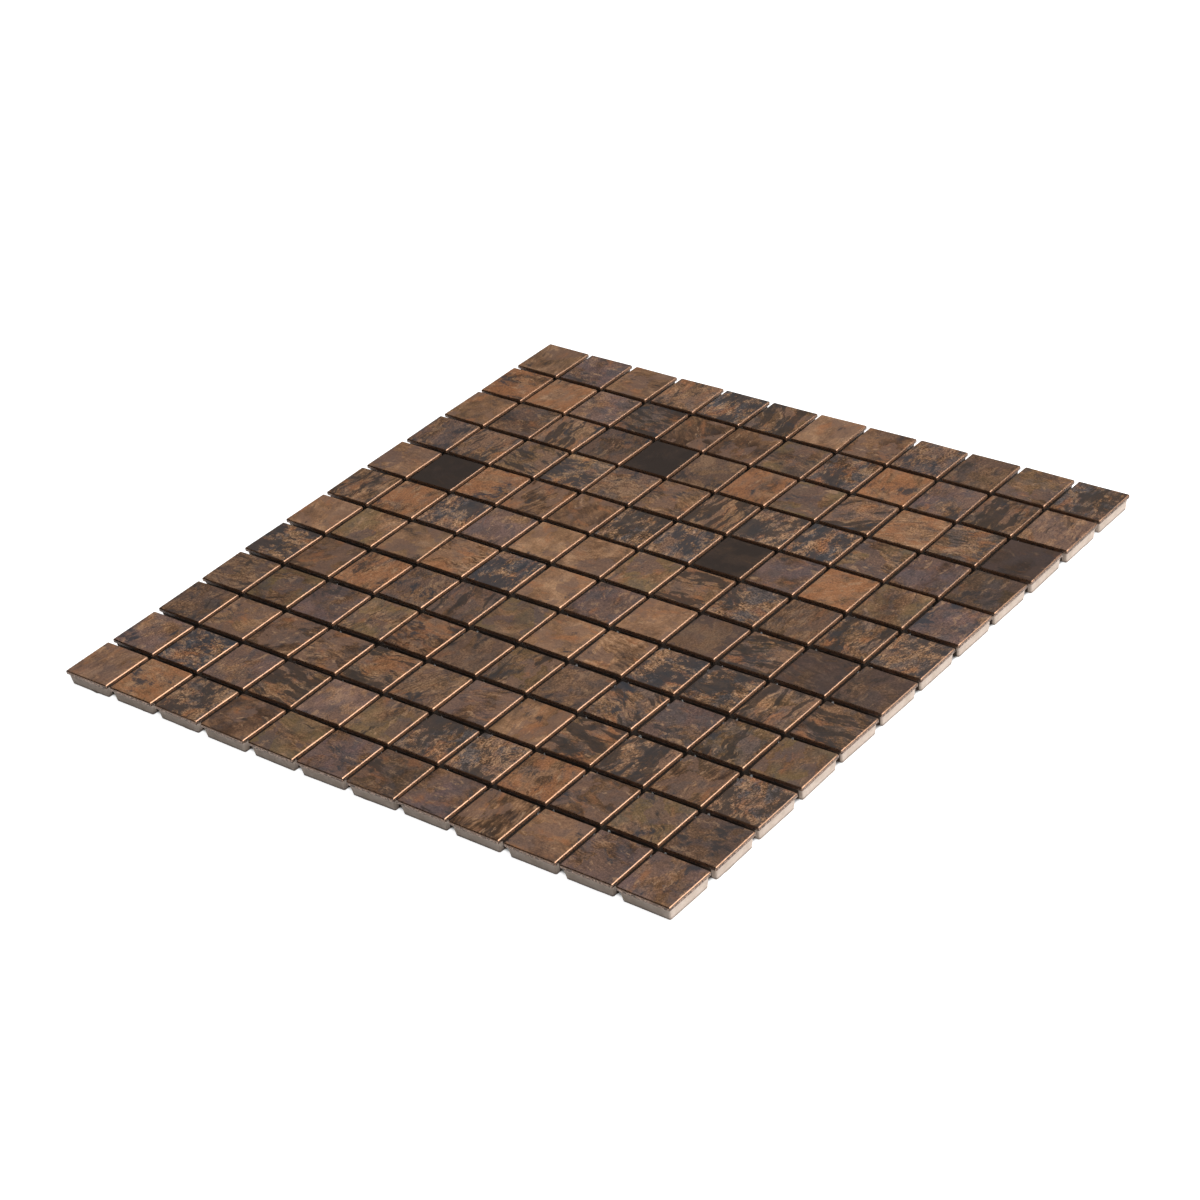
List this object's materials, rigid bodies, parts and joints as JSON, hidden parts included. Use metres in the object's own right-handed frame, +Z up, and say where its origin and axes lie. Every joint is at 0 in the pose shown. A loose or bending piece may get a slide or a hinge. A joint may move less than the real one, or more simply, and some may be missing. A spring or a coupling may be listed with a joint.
{
  "type": "mosaic tile sheet",
  "caption": "Square sheet of small square tiles, tapered ceramic bodies under thin patinated copper caps, laid with open joints on a flat backing mesh.",
  "frame": {"origin": "middle of the sheet's underside, on the plane of the lower mesh yarns", "axes": "+X along a row of tiles, +Y from row to row, +Z up out of the copper faces"},
  "size_m": [0.2999, 0.2987, 0.007],
  "materials": {
    "patinated_copper": "dark mottled patina on thin copper, rubbed bright along the edges",
    "fired_ceramic": "unglazed, matt",
    "glass_mesh": "coated glass yarn"
  },
  "bodies": {
    "root": {"copper_caps_row_01": "patinated_copper", "copper_caps_row_02": "patinated_copper", "copper_caps_row_03": "patinated_copper", "copper_caps_row_04": "patinated_copper", "copper_caps_row_05": "patinated_copper", "copper_caps_row_06": "patinated_copper", "copper_caps_row_07": "patinated_copper", "copper_caps_row_08": "patinated_copper", "copper_caps_row_09": "patinated_copper", "copper_caps_row_10": "patinated_copper", "copper_caps_row_11": "patinated_copper", "copper_caps_row_12": "patinated_copper", "ceramic_bodies_row_01": "fired_ceramic", "ceramic_bodies_row_02": "fired_ceramic", "ceramic_bodies_row_03": "fired_ceramic", "ceramic_bodies_row_04": "fired_ceramic", "ceramic_bodies_row_05": "fired_ceramic", "ceramic_bodies_row_06": "fired_ceramic", "ceramic_bodies_row_07": "fired_ceramic", "ceramic_bodies_row_08": "fired_ceramic", "ceramic_bodies_row_09": "fired_ceramic", "ceramic_bodies_row_10": "fired_ceramic", "ceramic_bodies_row_11": "fired_ceramic", "ceramic_bodies_row_12": "fired_ceramic", "mesh_weft_yarns": "glass_mesh", "mesh_warp_yarns": "glass_mesh"}
  },
  "joints": []
}
